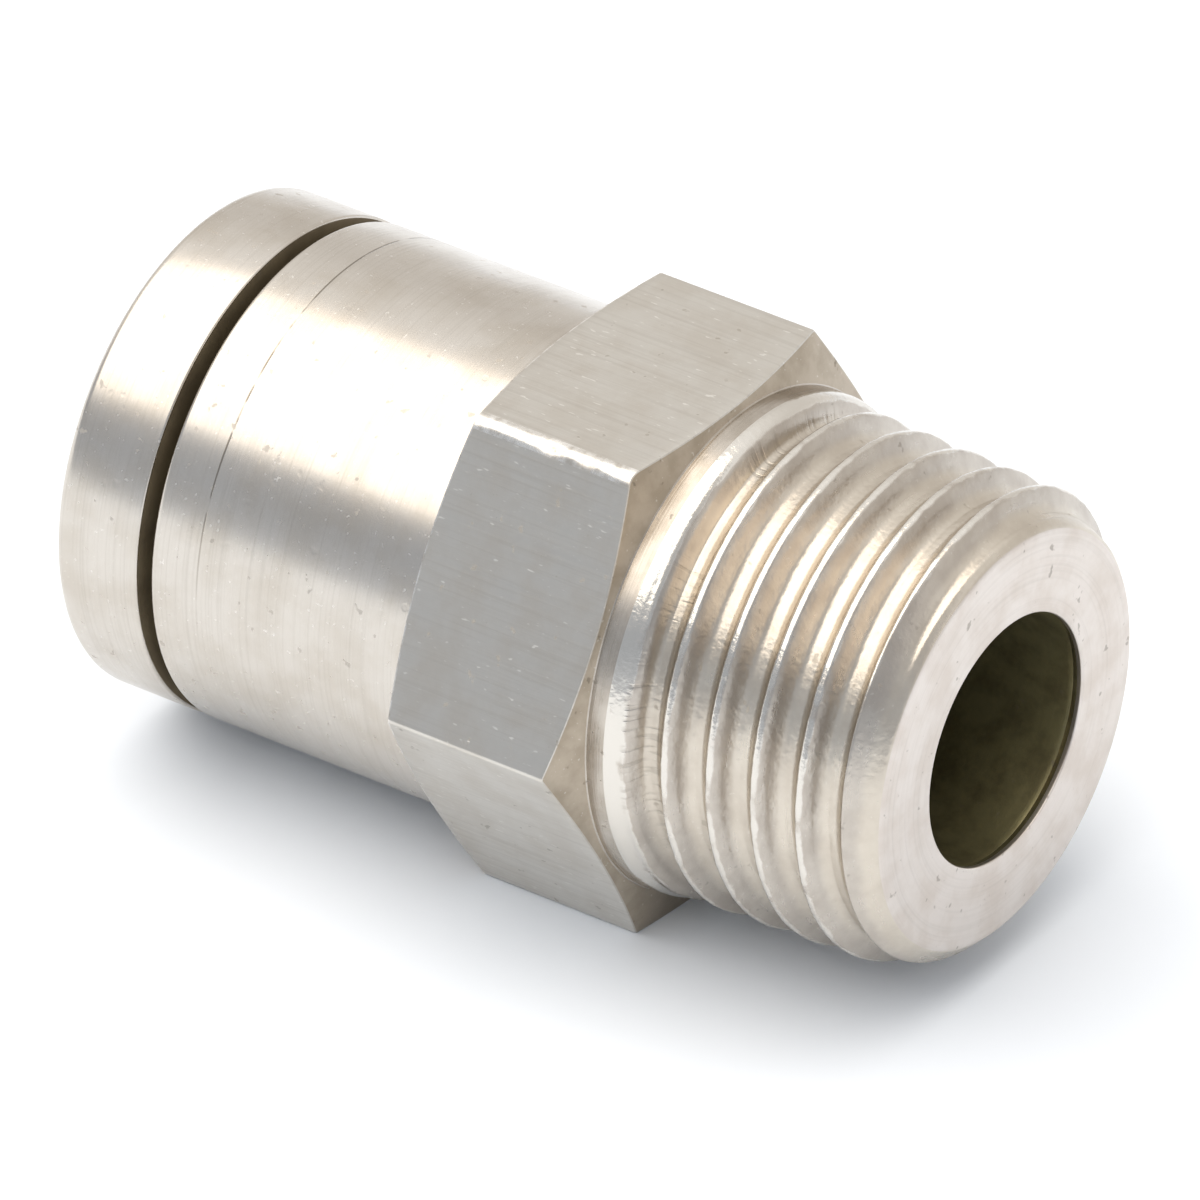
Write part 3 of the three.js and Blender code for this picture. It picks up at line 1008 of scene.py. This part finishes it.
    def _grow_hole(self, skin: RingSkin) -> None:
        """Grows the stepped hole from the barrel's mouth to the thread's end face.

        Args:
            skin: the skin, standing at the barrel's rear face.
        """
        rear = self.layout.barrel_rear
        cavity = self.layout.cavity_radius
        slide = self.layout.slide_radius
        face = self.layout.thread_face
        burr_start, burr_top, burr_end = (face - step for step in self.burr_steps)
        inner = [
            (rear, cavity + self.mouth_chamfer),
            (rear + self.mouth_chamfer, cavity),
            (self.seat_front, cavity),
            (self.seat_front, slide),
            (self.tube_stop, slide),
            (self.tube_stop, self.flow_radius),
            (burr_start, self.flow_radius),
            (burr_top, self.flow_radius + self.burr_height),
            (burr_end, self.flow_radius),
            (face - 3 * self.bore_edge, self.flow_radius),
        ]
        skin.follow(inner, self.BORE)
        start, end = (face - self.bore_edge, self.flow_radius), (face, self.flow_radius + self.bore_edge)
        skin.follow(quarter_round((face, self.flow_radius), start, end, 5), self.FACE)

    def build(self, materials: list[bpy.types.Material]) -> bpy.types.Object:
        """Builds the body as one closed skin.

        Args:
            materials: thread, band, chamfer, rim, hexagon, barrel, end face and bore, in that order.

        Returns:
            The body's object.
        """
        mesh = bmesh.new()
        thread = TaperThread(self.layout)
        rear, front = thread.build(mesh, self.THREAD)
        front_loop = loop_near(mesh, front)
        skin = RingSkin(mesh, loop_near(mesh, rear))
        self._grow_hexagon(skin)
        self._grow_barrel(skin)
        self._grow_hole(skin)
        face = self.layout.thread_face
        rim = thread.end_radius - thread.chamfer
        skin.follow([(face, rim - 0.12 * MM), (face - 0.015 * MM, rim - 0.03 * MM)], self.FACE)
        skin.follow([(face - 0.045 * MM, rim + 0.03 * MM)], self.FACE)
        bmesh.ops.bridge_loops(mesh, edges=skin.edges + front_loop)
        bmesh.ops.recalc_face_normals(mesh, faces=mesh.faces)
        # The rubbed corner's faces take the rubbed finish, whose near-white colour is a painted highlight.
        for patch in mesh.faces:
            if patch.material_index == self.HEXAGON and self._on_worn_corner(patch.calc_center_median()):
                patch.material_index = self.RIM
        made = finish_piece(mesh, "body_skin", materials, soft_slot=self.THREAD)
        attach(made, self.body)
        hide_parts("fitting_body")
        return made


# ---------------------------------------------------------------- release button and inner pieces


@dataclass
class ReleaseButton:
    """The release button: flange as wide as the barrel, hub inside the guide bush, lead-in for the tube."""

    layout: Layout
    edge_front: float = 0.07 * MM
    edge_rear: float = 0.3 * MM
    lead_in_round: float = 0.12 * MM
    land_round: float = 0.1 * MM
    lead_in: float = 0.8 * MM
    stop_land: float = 0.18 * MM
    bore_radius: float = 4.52 * MM
    hub_radius: float = 4.95 * MM
    segments: int = 288
    body: str = "button"

    def build(self, materials: list[bpy.types.Material]) -> bpy.types.Object:
        """Builds the button.

        Args:
            materials: the outside's finish and the dull, dark one of the faces that lie in the gap, whose
                dark colour is painted shade.

        Returns:
            The button's object.
        """
        rear, front = self.layout.flange_rear, self.layout.flange_front
        hub_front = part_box("release_button")[1].x
        radius = self.layout.barrel_radius
        slide = self.layout.slide_radius
        stop = rear + self.lead_in + self.stop_land
        mesh = spin_ring(
            [
                (rear, radius), (front, radius), (front, self.hub_radius), (hub_front, self.hub_radius),
                (hub_front, self.bore_radius), (stop, self.bore_radius), (stop, slide),
                (rear + self.lead_in, slide), (rear, slide + self.lead_in),
            ],
            self.segments,
        )
        soften(mesh, front, radius, self.edge_front, 4)
        soften(mesh, rear, radius, self.edge_rear, 5)
        soften(mesh, rear, slide + self.lead_in, self.lead_in_round, 3)
        soften(mesh, rear + self.lead_in, slide, self.land_round, 3)
        # Faces in the gap take the second finish, whose dark colour is painted shade.
        for face in mesh.faces:
            middle = face.calc_center_median()
            inside = math.hypot(middle.y, middle.z) < radius - 1.5 * self.edge_front
            face.material_index = int(inside and middle.x > front - 0.01 * MM)
        made = finish_piece(mesh, "button_skin", materials, 40.0)
        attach(made, self.body)
        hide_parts("release_button")
        return made


@dataclass(frozen=True)
class InnerPiece:
    """A piece inside the body, with its round faces shaded smooth and its edges kept crisp."""

    node: str
    body: str
    slot: str
    sharp_deg: float = 30.0

    def build(self, material: bpy.types.Material) -> bpy.types.Object:
        """Builds the piece from its own CAD shape.

        Args:
            material: its finish.

        Returns:
            The piece's object.
        """
        mesh = bmesh.new()
        mesh.from_mesh(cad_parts[self.node].data)
        bmesh.ops.remove_doubles(mesh, verts=mesh.verts, dist=1e-7)
        made = finish_piece(mesh, f"{self.node}_smooth", [material], self.sharp_deg)
        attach(made, self.body)
        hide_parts(self.node)
        return made


# ---------------------------------------------------------------- studio


@dataclass
class Studio:
    """A pale table, a large softbox overhead, dim walls, and the camera."""

    layout: Layout
    azimuth: float = 35.6
    elevation: float = 34.0
    roll: float = -0.75
    distance: float = 0.509
    lens: float = 600.0
    aim_right: float = -0.087 * MM
    aim_up: float = -0.37 * MM
    table_colour: str = "EFF5FD"
    softbox_centre: tuple[float, float, float] = (-0.29, -0.20, 0.50)
    softbox_size: tuple[float, float] = (1.10, 0.78)
    softbox_radiance: float = 2.0
    softbox_colour: str = "FFF7EB"
    wall_strength: float = 2.0
    wall_levels: tuple[tuple[float, float, str], ...] = (
        (0.0, 1.02, "FFFDFB"),
        (180.0, 0.74, "F0F6FF"),
        (12.0, 0.84, "FFFBF6"),
        (28.0, 0.82, "FFFBF6"),
        (48.0, 1.02, "FFFDFA"),
        (62.0, 1.12, "FFFFFF"),
        (72.0, 0.72, "FFFCFA"),
        (135.0, 0.60, "F4F8FF"),
        (160.0, 0.56, "ECF4FF"),
    )

    def camera(self) -> None:
        """Places the camera and makes it the scene's."""
        turn, lift = math.radians(self.azimuth), math.radians(self.elevation)
        away = Vector((math.sin(turn) * math.cos(lift), -math.cos(turn) * math.cos(lift), math.sin(lift)))
        spin = away.to_track_quat("Z", "Y").to_matrix() @ Matrix.Rotation(math.radians(self.roll), 3, "Z")
        data = bpy.data.cameras.new("camera")
        data.lens = self.lens
        data.clip_start, data.clip_end = 0.01, 20.0
        made = bpy.data.objects.new("camera", data)
        made.matrix_world = spin.to_4x4()
        made.location = away * self.distance + spin @ Vector((self.aim_right, self.aim_up, 0))
        bpy.context.scene.collection.objects.link(made)
        bpy.context.scene.camera = made

    def table(self) -> None:
        """Lays the pale table that the fitting lies on."""
        mesh = bmesh.new()
        bmesh.ops.create_grid(mesh, x_segments=1, y_segments=1, size=3.0)
        bmesh.ops.translate(mesh, verts=mesh.verts, vec=(0, 0, self.layout.floor - 0.01 * MM))
        shader = Shader("table_matt_white")
        tint = srgb(self.table_colour)
        bsdf = shader.add("BsdfPrincipled", Base_Color=tint, Roughness=0.7, Specular_IOR_Level=0.2)
        shader.add("OutputMaterial", Surface=bsdf.outputs["BSDF"])
        finish_piece(mesh, "table_top", [shader.material])

    def softbox(self) -> None:
        """Hangs the large rectangular softbox overhead, facing straight down."""
        width, depth = self.softbox_size
        data = bpy.data.lights.new("softbox_overhead", "AREA")
        data.shape = "RECTANGLE"
        data.size, data.size_y = width, depth
        data.energy = self.softbox_radiance * math.pi * width * depth
        data.color = srgb(self.softbox_colour)[:3]
        made = bpy.data.objects.new("softbox_overhead", data)
        made.location = self.softbox_centre
        bpy.context.scene.collection.objects.link(made)

    def walls(self) -> None:
        """Gives the room its walls: dim and cool in front, dim at the sides, brighter behind."""
        world = bpy.data.worlds.new("room")
        world.use_nodes = True
        room = Nodes(world.node_tree)
        way = room.add("SeparateXYZ", Vector=room.add("TexCoord").outputs["Generated"]).outputs
        share = room.math("DIVIDE", room.math("ARCTAN2", way["Z"], way["Y"]), math.pi)
        ramp = room.add("ValToRGB", Fac=share)
        back = room.add("Background", Color=ramp.outputs["Color"], Strength=self.wall_strength)
        room.add("OutputWorld", Surface=back.outputs["Background"])
        stops = ramp.color_ramp.elements
        for index, (degrees, level, tint) in enumerate(self.wall_levels):
            stop = stops[index] if index < 2 else stops.new(degrees / 180)
            stop.position = degrees / 180
            stop.color = [part * level / self.wall_strength for part in srgb(tint)[:3]] + [1.0]
        bpy.context.scene.world = world

    def build(self) -> None:
        """Sets up the table, the lights and the camera."""
        self.camera()
        self.table()
        self.walls()
        self.softbox()
        bpy.context.scene.view_settings.view_transform = "Standard"


# ---------------------------------------------------------------- main


def main() -> None:
    """Builds and dresses every piece, then lights the scene."""
    logging.basicConfig(level=logging.INFO, format="%(name)s: %(message)s")
    layout = Layout.from_frame()
    thread = TaperThread(layout)
    # Bright nickel on turned brass: a warm grey mirror broken up by fine lathe rings.
    barrel = MetalFinish(
        "nickel_on_turned_brass",
        "D0CAC2",
        "C2BAAF",
        Grain.AROUND,
        0.2,
        grain_mm=0.07,
        grain_run_mm=9.0,
        grain_height_um=2.4,
        grain_shade=0.16,
        speck_share=0.2,
        fleck_share=0.35,
        marks=(ScoreLine(),),
    ).build()
    # The hexagon keeps the drawn bar's lengthwise lines under the plating, so it looks duller.
    hexagon = MetalFinish(
        "nickel_on_drawn_bar",
        "CFCBC4",
        "C4BEB5",
        Grain.LENGTHWISE,
        0.27,
        grain_mm=0.12,
        grain_run_mm=6.0,
        grain_height_um=4.0,
        grain_shade=0.18,
        smudge_mm=1.1,
        fleck_mm=(0.32, 0.09),
        fleck_share=0.4,
    ).build()
    # Handling and a spanner have rubbed the rear rims and one corner of the flats; their near-white colour is
    # a painted highlight.
    rim = MetalFinish("nickel_rubbed_rim", "F2EFEA", "B5ADA2", Grain.AROUND, 0.24, smudge_mm=0.35).build()
    crest = ThreadTearsAndPaintedLight(layout.thread_face, thread.end_radius, thread.taper)
    # Die-cut flanks are torn and rougher; the crests take a painted highlight, the shoulders painted shade
    # and the roots a painted warm reflection.
    flanks = MetalFinish(
        "nickel_on_cut_thread",
        "D6CFC4",
        "BCB3A8",
        Grain.AROUND,
        0.25,
        grain_mm=0.09,
        grain_height_um=2.0,
        smudge_mm=0.9,
        fleck_share=0.3,
        marks=(crest, ChatterMarks(layout.thread_face - 7.3 * MM, layout.thread_face - 6.1 * MM)),
    ).build()
    # The shoulder band is turned bright; the chamfer beside it is a rough form-tool cut.
    band = MetalFinish(
        "nickel_on_shoulder",
        "C6BEB4",
        "ADA498",
        Grain.AROUND,
        0.22,
        grain_mm=0.06,
        grain_height_um=3.4,
        grain_shade=0.25,
        smudge_mm=0.8,
    ).build()
    chamfer = MetalFinish(
        "nickel_on_formed_chamfer",
        "B8AC9C",
        "A39786",
        Grain.AROUND,
        0.36,
        grain_mm=0.1,
        grain_height_um=3.0,
        smudge_mm=0.8,
        fleck_share=0.3,
    ).build()
    # The faced end is matt and smudgy, with faint rings from the facing cut.
    end_face = MetalFinish(
        "nickel_on_faced_end",
        "DAD3CD",
        "CCC2B9",
        Grain.FACING,
        0.34,
        grain_mm=0.1,
        grain_height_um=2.0,
        grain_shade=0.12,
        smudge_mm=1.1,
    ).build()
    # Plating hardly reaches the drilled bore: dull, dark brass with drill rings.
    bore = MetalFinish(
        "brass_in_drilled_bore",
        "8C8562",
        "665F44",
        Grain.AROUND,
        0.3,
        grain_mm=0.14,
        grain_height_um=4.0,
        smudge_mm=0.9,
        metallic=0.72,
    ).build()
    # The faces that lie in the gap get dull, dark brass: its dark colour is painted shade for the recess.
    gap_painted_shade = MetalFinish("brass_dusty_in_gap", "7F725B", "665A46", Grain.FACING, 0.6, metallic=0.4).build()
    # Turned brass without plating: yellow, satin, with lathe rings.
    plain_brass = MetalFinish("brass_turned", "CDAE6A", "B8964F", Grain.AROUND, 0.28).build()
    # Rolled stainless strip, stamped and bent: cool grey with a soft sheen.
    steel = MetalFinish(
        "stainless_rolled_strip", "B9BABB", "A7A8AA", Grain.LENGTHWISE, 0.3, grain_mm=0.05
    ).build()
    # Moulded nitrile: matt black, so the seal reads as a dark ring deep in the bore.
    rubber = RubberFinish().build()

    FittingBody(layout).build([flanks, band, chamfer, rim, hexagon, barrel, end_face, bore])
    LOG.info("fitting body built")
    ReleaseButton(layout).build([barrel, gap_painted_shade])
    LOG.info("release button built")
    # The guide bush, seen through the gap, takes the gap's finish with its painted shade.
    inner = [
        (InnerPiece("guide_bush", "housing", "nickel_plated_brass"), gap_painted_shade),
        (InnerPiece("seal_spacer", "housing", "plain_brass"), plain_brass),
        (InnerPiece("tube_seal", "housing", "nitrile_rubber", 60.0), rubber),
        (InnerPiece("collet", "button", "plain_brass"), plain_brass),
        (InnerPiece("chuck_band", "chuck", "spring_stainless"), steel),
    ]
    for k in range(1, CLAWS + 1):
        inner.append((InnerPiece(f"chuck_claw_{k}", f"claw_{k}", "spring_stainless"), steel))
    for piece, finish in inner:
        piece.build(finish)
        LOG.info("%s built", piece.node)
    Studio(layout).build()
    LOG.info("studio lit")


if __name__ == "__main__":
    main()
    bpy.context.view_layer.update()
